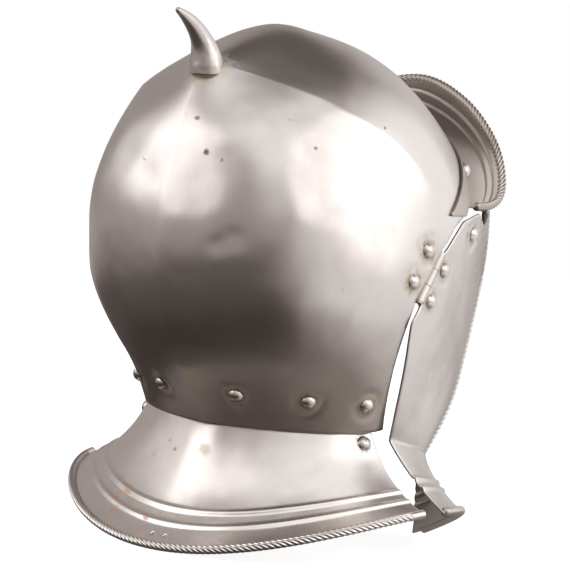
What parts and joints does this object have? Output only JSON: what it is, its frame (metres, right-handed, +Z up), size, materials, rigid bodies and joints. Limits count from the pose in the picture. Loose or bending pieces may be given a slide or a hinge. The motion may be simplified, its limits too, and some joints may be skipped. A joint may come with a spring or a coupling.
{
  "type": "burgonet",
  "caption": "Open steel helmet with a ridged pointed skull, crown spike, roped peak, flared neck guard and hinged cheek-pieces.",
  "frame": {"origin": "under the middle of the neck, on the surface that the helmet stands on", "axes": "+Z up, -Y the way the wearer looks, -X the wearer's right"},
  "size_m": [0.2412, 0.2509, 0.2959],
  "materials": {
    "plate": "polished by hand, with old brown patina",
    "rivets": "polished domes, dark round their seats",
    "hinges": "worn bright",
    "leather": "old, matt"
  },
  "bodies": {
    "root": {"skull": "plate", "crown_spike": "plate", "brow_peak": "plate", "brow_peak_rivets": "rivets", "neck_guard": "plate", "nape_lining_band": "leather", "nape_rivets": "rivets", "nape_rivet_washers": "rivets", "guard_corner_rivets": "rivets", "guard_corner_washers": "rivets", "right_hinge_skull_leaf": "hinges", "right_hinge_pin": "rivets", "right_hinge_skull_rivets": "rivets", "left_hinge_skull_leaf": "hinges", "left_hinge_pin": "rivets", "left_hinge_skull_rivets": "rivets"},
    "right_cheek": {"right_cheek_plate": "plate", "right_hinge_cheek_leaf": "hinges", "right_hinge_cheek_rivets": "rivets", "right_cheek_lining_tab": "leather", "right_cheek_lining_rivet": "rivets", "right_cheek_lining_washer": "rivets"},
    "left_cheek": {"left_cheek_plate": "plate", "left_hinge_cheek_leaf": "hinges", "left_hinge_cheek_rivets": "rivets", "left_cheek_lining_tab": "leather", "left_cheek_lining_rivet": "rivets", "left_cheek_lining_washer": "rivets"}
  },
  "joints": [
    {"name": "right_cheek_hinge", "type": "hinge", "parent": "root", "child": "right_cheek", "pos_m": [-0.10115, 0.00815, 0.1609], "axis": [0.0748, 0.4846, -0.8716], "range_deg": [-10, 65]},
    {"name": "left_cheek_hinge", "type": "hinge", "parent": "root", "child": "left_cheek", "pos_m": [0.10115, 0.00815, 0.1609], "axis": [0.0748, -0.4846, 0.8716], "range_deg": [-10, 65]}
  ]
}
